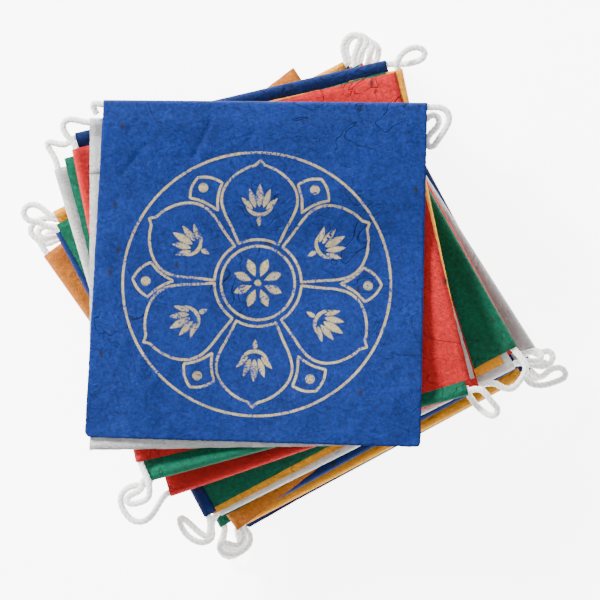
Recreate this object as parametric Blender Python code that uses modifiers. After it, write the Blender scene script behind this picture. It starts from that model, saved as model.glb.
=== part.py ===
"""A string of twenty-five square paper prayer flags on one cotton cord, put away as a stack.

The flags lie on each other in a fan. From one flag to the next the cord goes on round the stack,
so the folded headings face left, bottom, right and top in turn. The top flag lies face up.
Sizes in the tables are millimetres; the objects are made in metres, with +Z up and the floor at 0.
"""
import math

import bpy
import bmesh
import numpy as np
from mathutils import Vector

MM = 0.001

# Paper and cord
SHEET = 1.0
LAYER_GAP = 0.35
CORD_DIAMETER = 2.5
CORD_RADIUS = CORD_DIAMETER / 2

# Folded heading: the sheet goes round the cord and its end comes back on the sheet
ROLL_RADIUS = 2.3
CORD_INSET = 1.75
ROLL_TURNS = (-45, 0, 45, 90, 135, 180)
ROLL_END = CORD_INSET + ROLL_RADIUS
FLAP_RISE = SHEET + LAYER_GAP
EDGE_TRIM = 2.5

# How limp the paper is: the slope at which a sheet leaves what lifts it, and the stiff band
# beside the heading, which stays as straight as the cord
DRAPE_SLOPE = 0.13
STIFF_BAND = 9.0
LIMP_FROM = 55.0
COLUMNS = 7
BODY_ROWS = (1.0, 0.87, 0.72, 0.57, 0.42, 0.26)

# Height map that the flags are laid on, one after another from the floor up
CELL = 1.0
MAP_HALF = 120.0
MAP_CELLS = int(2 * MAP_HALF / CELL) + 1
NOTHING = -1000.0
# How closely facets, outlines and headings are sampled, and what is added for the rest
FACET_SAMPLES = 12
OUTLINE_SAMPLES = 260
HEADING_SAMPLES = 40
HEADING_STEP = 0.7
SAMPLING_MARGIN = 0.03
ROLL_REACH = 1.6
# Tilts that a heading may take, as end heights over start heights
TILT_LIMIT = 6.0
TILT_CHOICES = 25
DRAPE_SMOOTHINGS = 3
SETTLING_PASSES = 60
SETTLED = 0.001

# Plan of the stack seen from above, from the top flag down.
# colour, heading's middle x and y, direction of the cord in degrees, heading's width,
# free edge's width, depth from heading to free edge, sideways shift of the free edge,
# slant: how much deeper the sheet is at the cord's far end than at its start
FLAGS = (
    ("blue", -10.1, 74.9, -0.5, 125.0, 129.7, 130.9, -3.8, 2.9),
    ("white", -14.9, 68.1, 179.5, 126.2, 126.9, 126.0, -1.5, 3.4),
    ("red", -71.9, -3.3, -78.4, 123.5, 124.5, 130.1, -3.8, 4.6),
    ("green", 6.1, -54.0, 15.1, 128.8, 128.7, 128.4, 1.5, 0),
    ("yellow", 55.1, 27.2, 102.0, 124.7, 126.6, 128.9, -2.6, 0),
    ("blue", -23.6, 76.9, -166.8, 123.7, 123.7, 129.1, 0.0, 0),
    ("white", -73.4, -10.5, -73.3, 125.3, 125.0, 132.3, 0.0, 0),
    ("red", 12.9, -55.9, 19.0, 126.6, 129.0, 131.0, 4.0, 0),
    ("green", 56.1, 35.4, 119.3, 125.3, 125.6, 132.1, 3.1, 0),
    ("yellow", -36.1, 61.7, -152.6, 126.4, 126.6, 132.0, -1.7, 0),
    ("blue", -62.1, -29.9, -62.3, 124.2, 125.5, 128.8, -2.0, 0),
    ("white", 29.4, -55.5, 26.6, 127.6, 126.8, 128.8, -2.3, 0),
    ("red", 57.2, 35.1, 118.6, 126.9, 126.6, 128.6, 0.0, 0),
    ("green", -34.2, 61.5, -151.6, 126.2, 125.4, 132.6, 0.4, 0),
    ("yellow", -58.3, -36.9, -54.7, 130.5, 129.6, 121.1, -4.2, 0),
    ("blue", 33.2, -56.7, 28.7, 124.4, 125.3, 129.0, 0.7, 0),
    ("white", 61.0, 32.4, 122.5, 126.4, 127.4, 129.9, 6.5, 0),
    ("red", -32.5, 59.3, -151.6, 127.8, 126.9, 129.7, 0.1, 0),
    ("green", -58.1, -33.4, -61.1, 127.5, 126.5, 127.5, 0.2, 0),
    ("yellow", 35.9, -59.2, 27.9, 121.9, 122.6, 127.1, -2.9, 0),
    ("blue", 63.3, 29.3, 118.2, 128.4, 130.4, 127.0, -1.8, 0),
    ("white", -32.0, 59.3, -151.6, 127.4, 126.6, 130.1, 0.8, 0),
    ("red", -58.6, -33.6, -60.8, 127.0, 125.6, 127.9, 0.4, 0),
    ("green", 35.0, -60.5, 28.3, 125.0, 125.9, 130.8, -1.0, 0),
    ("yellow", 61.7, 30.3, 118.6, 127.4, 129.4, 127.5, -1.0, 0),
)

# The cord's route between two flags, chosen by hand: x, y, and how far it lies over the straight
# way down from one heading to the next. The key is the number of the upper flag.
LOOPS = {
    1: ((56.2, 72.8, 0), (59.3, 71.3, 0), (60.4, 68.2, -0.5), (58.9, 64.8, -1), (56.2, 60.6, -2),
        (53.1, 56.8, -2.5), (51.2, 59.5, -2.5), (53.1, 62.9, -2), (55.8, 65.2, -1.5), (56.6, 68.2, -1),
        (53.9, 70.2, -0.5)),
    2: ((-82.6, 67.9, 0), (-86.0, 68.2, 0), (-87.9, 66.0, 0), (-86.8, 62.9, 0), (-84.9, 60.6, 0)),
    3: ((-55.4, -68.6, 2.2), (-54.3, -72.8, 3.4), (-54.7, -76.7, 2.6), (-57.7, -78.2, 1),
        (-61.6, -79.1, 0), (-63.9, -77.4, -0.5), (-60.8, -75.1, -1), (-57.4, -73.6, -1.2)),
    4: ((72.3, -35.0, 2.5), (76.1, -39.6, 2.4), (79.1, -43.0, 1), (77.2, -45.7, 0), (73.4, -43.8, -1),
        (70.4, -41.1, -2)),
    5: ((40.6, 91.0, 2.6), (43.0, 94.0, 1.5), (46.0, 95.6, 0.5), (49.3, 95.6, 0.5), (51.3, 93.7, 0),
        (50.2, 91.3, 0), (46.5, 89.9, -1.0), (42.6, 89.3, -2.2)),
    6: ((-86.4, 58.3, 0), (-90.6, 59.1, 0), (-94.1, 59.8, 0), (-92.9, 56.8, -0.5), (-90.6, 53.3, 0)),
    7: ((-57.0, -71.8, 1), (-61.9, -72.3, 1.8), (-65.0, -74.8, 1), (-65.8, -77.8, 0.5),
        (-63.9, -82.4, 0), (-60.4, -85.8, 0), (-55.8, -85.5, 0), (-52.6, -82.0, -0.5),
        (-50.4, -78.0, -0.5)),
    8: ((77.6, -32.7, 0.5), (80.7, -34.6, 0.5), (84.1, -35.4, 0.5), (87.2, -32.3, 0), (89.9, -27.7, 0),
        (88.7, -23.9, 0)),
    9: ((24.9, 95.4, 0), (26.8, 99.2, 1), (24.5, 101.1, 1), (21.4, 100.0, 0.5), (19.5, 96.5, 0),
        (20.3, 92.3, 0)),
    10: ((-95.2, 33.8, 0), (-98.3, 35.8, 0), (-102.1, 35.0, 0), (-103.2, 32.3, 0), (-100.9, 29.2, 0),
        (-97.1, 29.2, 0), (-94.8, 27.3, 0)),
    11: ((-32.1, -92.0, 1.5), (-35.9, -89.7, 1.5), (-40.1, -85.8, 1), (-43.2, -83.9, 0.5),
        (-42.4, -88.1, 0), (-39.0, -92.3, 0), (-34.0, -94.2, 0), (-30.2, -92.0, -0.5),
        (-31.0, -88.0, -1)),
    12: ((90.6, -24.3, 0), (94.4, -24.7, 0), (96.4, -22.4, 0), (94.1, -20.1, 0), (91.4, -21.2, 0)),
    13: ((27.1, 95.4, 0), (29.4, 98.5, 0.5), (27.1, 100.8, 0.5), (23.3, 100.4, 0), (21.0, 97.3, 0),
        (21.0, 93.1, 0)),
    14: ((-93.3, 30.8, 0), (-97.5, 29.6, 0), (-100.6, 27.3, 0), (-100.2, 23.9, 0), (-97.1, 22.0, 0),
        (-96.6, 20.4, 0)),
    15: ((-18.7, -93.5, 0.5), (-21.4, -95.8, 0.5), (-25.2, -94.2, 0), (-28.3, -95.0, 0),
        (-27.1, -98.1, 0), (-23.3, -99.2, 0), (-19.1, -97.7, 0), (-16.1, -94.6, 0), (-16.1, -91.2, 0),
        (-18.4, -88.9, 0)),
    16: ((93.3, -26.2, 1.5), (97.9, -26.6, 1), (100.9, -23.1, 0.5), (98.6, -20.1, 0),
        (96.0, -21.6, -0.3)),
    17: ((28.6, 88.2, 0.3), (30.0, 93.4, 0), (31.4, 96.9, 0), (29.4, 99.6, 0), (26.0, 98.5, 0),
        (25.2, 94.6, 0)),
    18: ((-92.5, 27.3, 0), (-96.4, 27.3, 0), (-98.3, 24.7, 0), (-95.6, 22.4, 0), (-92.9, 23.1, 0)),
    19: ((-26.4, -92.0, 0), (-26.0, -96.2, 0), (-22.6, -97.7, 0), (-18.7, -96.2, 0), (-17.6, -92.3, 0)),
    20: ((91.0, -32.8, 1.9), (96.0, -34.0, 1.8), (101.3, -32.6, 0.8), (105.9, -30.4, 0.5),
        (104.0, -27.0, 0), (99.8, -27.6, 0), (95.8, -31.2, -0.9)),
    21: ((32.9, 92.0, 0), (33.6, 95.8, 0), (31.0, 98.5, 0), (27.5, 96.5, 0), (26.8, 92.7, 0)),
    22: ((-91.8, 25.8, 0), (-95.2, 23.5, 0), (-95.6, 20.1, 0), (-92.2, 21.5, 0)),
    23: ((-26.8, -92.7, 0), (-28.3, -96.5, 0), (-25.6, -100.0, 0), (-21.0, -99.2, 0),
        (-19.9, -95.0, 0)),
    24: ((92.6, -31.5, 0.4), (97.5, -30.0, 0), (99.8, -26.6, 0), (96.7, -24.7, 0)),
}
START_TAIL = ((-76.5, 74.4, 0), (-74.6, 70.2, -1.5))
END_TAIL = ((30.6, 90.8, 0), (29.4, 95.4, -1.5), (32.9, 98.5, -2.5))

# The cord keeps this far over whatever lies under it
CORD_OVER_PAPER = 0.4
STRAIGHT_OUT = 3.0
CORD_STEP = 5.5
CURVE_SAMPLES = 24

PAPER_COLOURS = {
    "blue": (0.017, 0.107, 0.447),
    "white": (0.776, 0.760, 0.723),
    "red": (0.730, 0.070, 0.070),
    "green": (0.000, 0.223, 0.114),
    "yellow": (0.871, 0.456, 0.080),
}
CORD_COLOUR = (0.83, 0.82, 0.79)
PAPER_ROUGHNESS = 0.9
CORD_ROUGHNESS = 0.95


def clear_scene():
    for thing in list(bpy.data.objects):
        bpy.data.objects.remove(thing, do_unlink=True)


def make_material(name, colour, roughness):
    material = bpy.data.materials.new(name)
    material.use_nodes = True
    shader = material.node_tree.nodes["Principled BSDF"]
    shader.inputs["Base Color"].default_value = (*colour, 1.0)
    shader.inputs["Roughness"].default_value = roughness
    shader.inputs["Metallic"].default_value = 0.0
    return material


class Flag:
    """One flag's place in plan, and the rows of its section from free edge to flap end."""

    def __init__(self, number, row):
        self.number = number
        self.colour, self.x, self.y, direction, heading, free, self.depth, self.shift, self.slant = row
        self.face_up = number == 1
        angle = math.radians(direction)
        self.along = np.array((math.cos(angle), math.sin(angle)))
        inward = np.array((-self.along[1], self.along[0]))
        self.inward = -inward if self.face_up else inward
        self.heading = heading - 2 * EDGE_TRIM
        self.free = free - 2 * EDGE_TRIM
        self.name = f"flag_{number:02d}_{self.colour}"
        self.rows = self.section_rows()
        self.shares = np.linspace(0.0, 1.0, COLUMNS + 1)

    def section_rows(self):
        """Rows as (distance from the heading's edge, height over the sheet's middle)."""
        side = -1.0 if self.face_up else 1.0
        free_edge = self.depth - EDGE_TRIM
        rows = [(share * free_edge, 0.0) for share in BODY_ROWS]
        rows += [(STIFF_BAND, 0.0), (CORD_INSET, 0.0)]
        for degrees in ROLL_TURNS:
            turn = math.radians(degrees)
            out = ROLL_RADIUS * math.cos(turn)
            rise = ROLL_RADIUS * (1 + math.sin(turn))
            rows.append((CORD_INSET - out, side * rise))
        rows.append((ROLL_END, side * FLAP_RISE))
        return rows

    def plan(self, share, distance):
        """World x and y at a share of the width and a distance from the heading's edge."""
        part = np.clip(distance / self.depth, 0.0, 1.0)
        width = self.heading + (self.free - self.heading) * part
        sideways = (share - 0.5) * width + self.shift * part
        deeper = distance + self.slant * (share - 0.5) * part
        x = self.x + self.along[0] * sideways + self.inward[0] * deeper
        y = self.y + self.along[1] * sideways + self.inward[1] * deeper
        return x, y


def cell_of(x, y):
    column = np.clip(np.rint((x + MAP_HALF) / CELL).astype(int), 0, MAP_CELLS - 1)
    row = np.clip(np.rint((y + MAP_HALF) / CELL).astype(int), 0, MAP_CELLS - 1)
    return column, row


def shifted(field, step_x, step_y):
    """The field moved by whole cells, its edge values repeated."""
    rows = np.clip(np.arange(MAP_CELLS) - step_y, 0, MAP_CELLS - 1)
    columns = np.clip(np.arange(MAP_CELLS) - step_x, 0, MAP_CELLS - 1)
    return field[np.ix_(rows, columns)]


NEIGHBOURS = [(x, y) for x in (-1, 0, 1) for y in (-1, 0, 1) if x or y]


def widened(field):
    """Each cell takes the highest value beside it, so that edges keep their distance."""
    result = field.copy()
    for step_x, step_y in NEIGHBOURS:
        result = np.maximum(result, shifted(field, step_x, step_y))
    return result


def draped(field):
    """The surface of a limp sheet over the field: it falls away at the drape slope."""
    result = field.copy()
    for _ in range(MAP_CELLS // 2):
        before = result
        for step_x, step_y in NEIGHBOURS:
            fall = DRAPE_SLOPE * CELL * math.hypot(step_x, step_y)
            result = np.maximum(result, shifted(before, step_x, step_y) - fall)
        if np.array_equal(result, before):
            break
    for _ in range(DRAPE_SMOOTHINGS):
        total = result.copy()
        for step_x, step_y in NEIGHBOURS:
            total += shifted(result, step_x, step_y)
        result = total / (len(NEIGHBOURS) + 1)
    return result


def read_map(field, x, y):
    column, row = cell_of(x, y)
    return field[row, column]


def between(values, low, high):
    part = np.clip((values - low) / (high - low), 0.0, 1.0)
    return part * part * (3 - 2 * part)


def facet_samples(flag, heights, first, last):
    """Points on the quads between two section rows, with the cell corners that carry them."""
    samples = []
    steps = np.linspace(0.0, 1.0, FACET_SAMPLES + 1)
    for row in range(first, last):
        near, far = flag.rows[row], flag.rows[row + 1]
        for column in range(COLUMNS):
            u, v = np.meshgrid(steps, steps)
            share = flag.shares[column] + u * (flag.shares[column + 1] - flag.shares[column])
            distance = near[0] + v * (far[0] - near[0])
            x, y = flag.plan(share, distance)
            a, b = heights[row, column], heights[row, column + 1]
            c, d = heights[row + 1, column], heights[row + 1, column + 1]
            one = np.where(u + v <= 1, a + u * (b - a) + v * (c - a),
                           d + (1 - u) * (c - d) + (1 - v) * (b - d))
            two = np.where(u >= v, a + u * (b - a) + v * (d - b),
                           a + v * (c - a) + u * (d - c))
            samples.append((row, column, x, y, np.minimum(one, two), np.maximum(one, two), u, v))
    return samples


BODY_LAST = len(BODY_ROWS) + 1


def footprint(flag):
    """The cells that this flag covers; what lies beside it holds nothing up."""
    covered = np.zeros((MAP_CELLS, MAP_CELLS), dtype=bool)
    share, distance = np.meshgrid(np.linspace(0.0, 1.0, OUTLINE_SAMPLES),
                                  np.linspace(-ROLL_REACH, flag.rows[0][0], OUTLINE_SAMPLES))
    map_column, map_row = cell_of(*flag.plan(share, distance))
    covered[map_row, map_column] = True
    return covered


def heading_line(flag, drape):
    """Lowest straight line for the heading, as heights of the sheet's middle at both ends."""
    share = np.linspace(0.0, 1.0, HEADING_SAMPLES)
    needed = np.full(share.shape, -np.inf)
    for distance in np.arange(CORD_INSET - ROLL_RADIUS - SHEET / 2, STIFF_BAND, HEADING_STEP):
        x, y = flag.plan(share, distance)
        below = SHEET / 2
        if flag.face_up:
            below += 2 * ROLL_RADIUS if distance < ROLL_END + SHEET else 0.0
        needed = np.maximum(needed, read_map(drape, x, y) + below)
    best = None
    for slope in np.linspace(-TILT_LIMIT, TILT_LIMIT, TILT_CHOICES):
        start = np.max(needed - slope * share)
        if best is None or start + slope / 2 < best[0]:
            best = (start + slope / 2, start, start + slope)
    return best[1] + LAYER_GAP, best[2] + LAYER_GAP


def settle(flag, support):
    """Heights of the sheet's middle for each row and column, so that it lies on the support."""
    near_support = widened(np.where(footprint(flag), support, NOTHING))
    drape = draped(near_support)
    start, end = heading_line(flag, near_support)
    line = start + (end - start) * flag.shares
    heights = np.zeros((len(flag.rows), COLUMNS + 1))
    for row, (distance, rise) in enumerate(flag.rows):
        limp = between(distance, STIFF_BAND, LIMP_FROM)
        x, y = flag.plan(flag.shares, distance)
        lying = read_map(drape, x, y) + LAYER_GAP + SHEET / 2
        heights[row] = line + limp * (lying - line)
    for _ in range(SETTLING_PASSES):
        lift = np.zeros(heights.shape)
        for row, column, x, y, low, high, u, v in facet_samples(flag, heights, 0, BODY_LAST):
            below = SHEET / 2 + SAMPLING_MARGIN
            short = read_map(near_support, x, y) + LAYER_GAP + below - low
            worst = np.unravel_index(np.argmax(short), short.shape)
            if short[worst] <= 0:
                continue
            across, down = u[worst], v[worst]
            weights = (((row, column), (1 - across) * (1 - down)), ((row, column + 1), across * (1 - down)),
                       ((row + 1, column), (1 - across) * down), ((row + 1, column + 1), across * down))
            total = sum(weight * weight for corner, weight in weights)
            for corner, weight in weights:
                lift[corner] = max(lift[corner], short[worst] * weight / total)
        if np.max(lift) < SETTLED:
            break
        heights[:BODY_LAST - 1] += lift[:BODY_LAST - 1]
        heights[BODY_LAST - 1:] += np.max(lift[BODY_LAST - 1:BODY_LAST + 1])
    heights[BODY_LAST + 1:] = heights[BODY_LAST]
    rises = np.array([rise for distance, rise in flag.rows])
    return heights + rises[:, None]


def lay_on(flag, heights, support):
    """The support with this flag on it."""
    result = support.copy()
    for row, column, x, y, low, high, u, v in facet_samples(flag, heights, 0, len(flag.rows) - 1):
        map_column, map_row = cell_of(x, y)
        np.maximum.at(result, (map_row, map_column), high + SHEET / 2 + SAMPLING_MARGIN)
    return result


def stack_flags(flags):
    """Lay the flags from the last, on the floor, to the first, and keep the map under each."""
    support = np.zeros((MAP_CELLS, MAP_CELLS))
    lowest = True
    placed = {}
    for flag in reversed(flags):
        if lowest:
            rises = np.array([rise for distance, rise in flag.rows])
            heights = np.full((len(flag.rows), COLUMNS + 1), SHEET / 2) + rises[:, None]
            lowest = False
        else:
            heights = settle(flag, support)
        placed[flag.number] = (heights, support)
        support = lay_on(flag, heights, support)
    return placed


def make_flag(flag, heights, material, collection):
    mesh = bpy.data.meshes.new(flag.name)
    work = bmesh.new()
    bmesh.ops.create_grid(work, x_segments=COLUMNS, y_segments=len(flag.rows) - 1, size=0.5)
    for vertex in work.verts:
        column = int(round((vertex.co.x + 0.5) * COLUMNS))
        row = int(round((vertex.co.y + 0.5) * (len(flag.rows) - 1)))
        x, y = flag.plan(flag.shares[column], flag.rows[row][0])
        vertex.co = Vector((x, y, heights[row, column])) * MM
    work.to_mesh(mesh)
    work.free()
    mesh.materials.append(material)
    flag_object = bpy.data.objects.new(flag.name, mesh)
    collection.objects.link(flag_object)
    shell = flag_object.modifiers.new("paper", "SOLIDIFY")
    shell.thickness = SHEET * MM
    shell.offset = 0.0
    shell.use_even_offset = True
    return flag_object


def smooth_curve(points, step):
    """Points a step apart on a smooth curve; the first and last given points only steer it."""
    points = np.array(points)
    fine = []
    for index in range(len(points) - 3):
        a, b, c, d = points[index:index + 4]
        knots = np.cumsum([0.0] + [max(np.linalg.norm(q - p), 1e-6) ** 0.5
                                   for p, q in ((a, b), (b, c), (c, d))])
        for t in np.linspace(knots[1], knots[2], CURVE_SAMPLES, endpoint=False):
            ab = a + (b - a) * (t - knots[0]) / (knots[1] - knots[0])
            bc = b + (c - b) * (t - knots[1]) / (knots[2] - knots[1])
            cd = c + (d - c) * (t - knots[2]) / (knots[3] - knots[2])
            abc = ab + (bc - ab) * (t - knots[0]) / (knots[2] - knots[0])
            bcd = bc + (cd - bc) * (t - knots[1]) / (knots[3] - knots[1])
            fine.append(abc + (bcd - abc) * (t - knots[1]) / (knots[2] - knots[1]))
    fine.append(points[-2])
    fine = np.array(fine)
    along = np.concatenate(([0.0], np.cumsum(np.linalg.norm(np.diff(fine, axis=0), axis=1))))
    count = max(2, int(round(along[-1] / step)))
    marks = np.linspace(0.0, along[-1], count + 1)
    return np.stack([np.interp(marks, along, fine[:, axis]) for axis in range(3)], axis=1)


def cord_mouth(flag, heights, share):
    """Where the cord's middle leaves the heading."""
    x, y = flag.plan(share, CORD_INSET)
    side = -1.0 if flag.face_up else 1.0
    z = heights[BODY_LAST, 0 if share == 0 else COLUMNS] + side * ROLL_RADIUS
    return np.array((x, y, z))


def loop_points(upper_end, upper_way, route, lower_start, lower_way, support):
    """One loop from mouth to mouth, kept over what lies under it."""
    first = upper_end + STRAIGHT_OUT * upper_way
    last = lower_start - STRAIGHT_OUT * lower_way
    plan = [first[:2]] + [np.array(point[:2]) for point in route] + [last[:2]]
    spans = np.cumsum([0.0] + [np.linalg.norm(q - p) for p, q in zip(plan, plan[1:])])
    points = [upper_end, first]
    for point, span in zip(route, spans[1:]):
        z = first[2] + (last[2] - first[2]) * span / spans[-1] + point[2]
        lowest = read_map(support, point[0], point[1]) + CORD_RADIUS + CORD_OVER_PAPER
        points.append(np.array((point[0], point[1], max(z, lowest))))
    points += [last, lower_start]
    return [upper_end, *smooth_curve(points, CORD_STEP), lower_start]


def tail_points(mouth, way, route, support):
    points = [mouth, mouth + STRAIGHT_OUT * way]
    for x, y, lift in route:
        lowest = read_map(support, x, y) + CORD_RADIUS + CORD_OVER_PAPER
        points.append(np.array((x, y, max(mouth[2] + lift, lowest))))
    points.append(2 * points[-1] - points[-2])
    return [mouth, *smooth_curve(points, CORD_STEP)]


def cord_route(flags, placed):
    """The whole cord, from the tail at the top flag to the tail at the last."""
    mouths = {}
    ways = {}
    for flag in flags:
        heights = placed[flag.number][0]
        start, end = cord_mouth(flag, heights, 0), cord_mouth(flag, heights, 1)
        mouths[flag.number] = (start, end)
        ways[flag.number] = (end - start) / np.linalg.norm(end - start)
    first, last = flags[0].number, flags[-1].number
    head = tail_points(mouths[first][0], -ways[first], START_TAIL, placed[first + 1][1])
    route = head[::-1]
    for number in range(first, last):
        route += loop_points(mouths[number][1], ways[number], LOOPS[number],
                             mouths[number + 1][0], ways[number + 1], placed[number + 1][1])
    route += tail_points(mouths[last][1], ways[last], END_TAIL, placed[last][1])
    return route


def make_cord(route, material, collection):
    curve = bpy.data.curves.new("cord", "CURVE")
    curve.dimensions = "3D"
    spline = curve.splines.new("POLY")
    spline.points.add(len(route) - 1)
    for point, place in zip(spline.points, route):
        point.co = (*(Vector(place) * MM), 1.0)
    curve.bevel_depth = CORD_RADIUS * MM
    curve.bevel_resolution = 2
    curve.use_fill_caps = True
    curve.materials.append(material)
    cord = bpy.data.objects.new("cord", curve)
    collection.objects.link(cord)
    return cord


def main():
    clear_scene()
    collection = bpy.data.collections.new("prayer_flag_string")
    bpy.context.scene.collection.children.link(collection)
    papers = {name: make_material(f"paper_{name}", colour, PAPER_ROUGHNESS)
              for name, colour in PAPER_COLOURS.items()}
    flags = [Flag(number, row) for number, row in enumerate(FLAGS, start=1)]
    placed = stack_flags(flags)
    for flag in flags:
        make_flag(flag, placed[flag.number][0], papers[flag.colour], collection)
    cotton = make_material("cord_cotton", CORD_COLOUR, CORD_ROUGHNESS)
    make_cord(cord_route(flags, placed), cotton, collection)


main()
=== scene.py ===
"""The looks of a stacked string of handmade-paper prayer flags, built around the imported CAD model.

All sizes are metres, in the frame of the CAD model: +Z up, the table at zero.
"""

import math

import bpy
import numpy as np
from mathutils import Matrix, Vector, noise
from mathutils.bvhtree import BVHTree


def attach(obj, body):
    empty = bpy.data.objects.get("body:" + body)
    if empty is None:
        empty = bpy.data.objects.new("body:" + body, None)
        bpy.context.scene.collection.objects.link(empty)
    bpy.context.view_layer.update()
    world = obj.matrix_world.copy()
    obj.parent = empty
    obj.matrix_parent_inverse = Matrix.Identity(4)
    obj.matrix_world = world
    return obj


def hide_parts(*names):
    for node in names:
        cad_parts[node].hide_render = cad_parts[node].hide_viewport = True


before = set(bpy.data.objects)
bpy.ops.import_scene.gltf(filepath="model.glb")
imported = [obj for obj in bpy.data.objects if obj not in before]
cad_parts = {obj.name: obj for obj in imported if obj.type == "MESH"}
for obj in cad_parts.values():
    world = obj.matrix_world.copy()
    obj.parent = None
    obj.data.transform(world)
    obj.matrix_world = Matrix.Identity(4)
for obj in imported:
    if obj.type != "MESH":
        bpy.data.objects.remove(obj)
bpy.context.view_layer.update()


# Camera and studio: straight down from far above, as the photo was taken, over a plain white
# table that glows a little, so that it stays white. The key light comes from the upper left.
# The view's width is the photo's at the top flag.
VIEW_WIDTH = 0.2294
VIEW_CENTRE = (0.0031, -0.0010)
LENS = 800.0
SENSOR = 36.0
TOP_LEVEL = 0.052
TABLE_GLOW = 6.0
camera_data = bpy.data.cameras.new("camera")
camera_data.lens = LENS
camera_data.sensor_width = SENSOR
camera_data.clip_end = 20.0
camera = bpy.data.objects.new("camera", camera_data)
camera.location = (*VIEW_CENTRE, TOP_LEVEL + VIEW_WIDTH * LENS / SENSOR)
bpy.context.scene.collection.objects.link(camera)
bpy.context.scene.camera = camera

bpy.ops.mesh.primitive_plane_add(size=3.0, location=(0.0, 0.0, 0.0))
table = bpy.context.object
table.name = "table"
table_paint = bpy.data.materials.new("table_white")
table_paint.use_nodes = True
table_shader = table_paint.node_tree.nodes["Principled BSDF"]
table_shader.inputs["Base Color"].default_value = (0.97, 0.97, 0.97, 1.0)
table_shader.inputs["Roughness"].default_value = 0.9
table_shader.inputs["Emission Color"].default_value = (1.0, 1.0, 1.0, 1.0)
table_shader.inputs["Emission Strength"].default_value = TABLE_GLOW
table.data.materials.append(table_paint)

# name, place, size, power in watts
LAMPS = (
    ("key_lamp", (-1.2, 1.1, 1.1), 0.45, 125.0),
    ("fill_lamp", (1.1, -0.3, 1.4), 1.4, 8.0),
    ("top_lamp", (0.0, -0.2, 2.4), 1.6, 20.0),
)
lamps = []
for name, place, size, power in LAMPS:
    lamp_data = bpy.data.lights.new(name, "AREA")
    lamp_data.size = size
    lamp_data.energy = power
    lamp = bpy.data.objects.new(name, lamp_data)
    lamp.location = place
    lamp.rotation_euler = (-Vector(place)).to_track_quat("-Z", "Y").to_euler()
    bpy.context.scene.collection.objects.link(lamp)
    lamps.append(lamp)
world = bpy.data.worlds.new("studio")
world.use_nodes = True
world.node_tree.nodes["Background"].inputs["Color"].default_value = (1.0, 1.0, 1.0, 1.0)
world.node_tree.nodes["Background"].inputs["Strength"].default_value = 0.5
bpy.context.scene.world = world


# Where the flags lie in plan, from the top flag down, as in the part's source. The cord and the
# sheets are both placed by it, and their heights are read from the CAD solids.
# colour, heading's middle x and y, direction of the cord in degrees, heading's width,
# free edge's width, depth from heading to free edge, sideways shift of the free edge,
# slant: how much deeper the sheet is at the cord's far end than at its start
FLAGS = (
    ("blue", -0.0101, 0.0749, -0.5, 0.125, 0.1297, 0.1309, -0.0038, 0.0029),
    ("white", -0.0149, 0.0681, 179.5, 0.1262, 0.1269, 0.126, -0.0015, 0.0034),
    ("red", -0.0719, -0.0033, -78.4, 0.1235, 0.1245, 0.1301, -0.0038, 0.0046),
    ("green", 0.0061, -0.054, 15.1, 0.1288, 0.1287, 0.1284, 0.0015, 0),
    ("yellow", 0.0551, 0.0272, 102.0, 0.1247, 0.1266, 0.1289, -0.0026, 0),
    ("blue", -0.0236, 0.0769, -166.8, 0.1237, 0.1237, 0.1291, 0, 0),
    ("white", -0.0734, -0.0105, -73.3, 0.1253, 0.125, 0.1323, 0, 0),
    ("red", 0.0129, -0.0559, 19.0, 0.1266, 0.129, 0.131, 0.004, 0),
    ("green", 0.0561, 0.0354, 119.3, 0.1253, 0.1256, 0.1321, 0.0031, 0),
    ("yellow", -0.0361, 0.0617, -152.6, 0.1264, 0.1266, 0.132, -0.0017, 0),
    ("blue", -0.0621, -0.0299, -62.3, 0.1242, 0.1255, 0.1288, -0.002, 0),
    ("white", 0.0294, -0.0555, 26.6, 0.1276, 0.1268, 0.1288, -0.0023, 0),
    ("red", 0.0572, 0.0351, 118.6, 0.1269, 0.1266, 0.1286, 0, 0),
    ("green", -0.0342, 0.0615, -151.6, 0.1262, 0.1254, 0.1326, 0.0004, 0),
    ("yellow", -0.0583, -0.0369, -54.7, 0.1305, 0.1296, 0.1211, -0.0042, 0),
    ("blue", 0.0332, -0.0567, 28.7, 0.1244, 0.1253, 0.129, 0.0007, 0),
    ("white", 0.061, 0.0324, 122.5, 0.1264, 0.1274, 0.1299, 0.0065, 0),
    ("red", -0.0325, 0.0593, -151.6, 0.1278, 0.1269, 0.1297, 0.0001, 0),
    ("green", -0.0581, -0.0334, -61.1, 0.1275, 0.1265, 0.1275, 0.0002, 0),
    ("yellow", 0.0359, -0.0592, 27.9, 0.1219, 0.1226, 0.1271, -0.0029, 0),
    ("blue", 0.0633, 0.0293, 118.2, 0.1284, 0.1304, 0.127, -0.0018, 0),
    ("white", -0.032, 0.0593, -151.6, 0.1274, 0.1266, 0.1301, 0.0008, 0),
    ("red", -0.0586, -0.0336, -60.8, 0.127, 0.1256, 0.1279, 0.0004, 0),
    ("green", 0.035, -0.0605, 28.3, 0.125, 0.1259, 0.1308, -0.001, 0),
    ("yellow", 0.0617, 0.0303, 118.6, 0.1274, 0.1294, 0.1275, -0.001, 0),
)
CAD_TRIM = 0.0025
CAD_SHEET = 0.001
CAD_ROLL = 0.0023
EDGE_MARGIN = 0.0006
CORD_INSET = 0.00175


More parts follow.
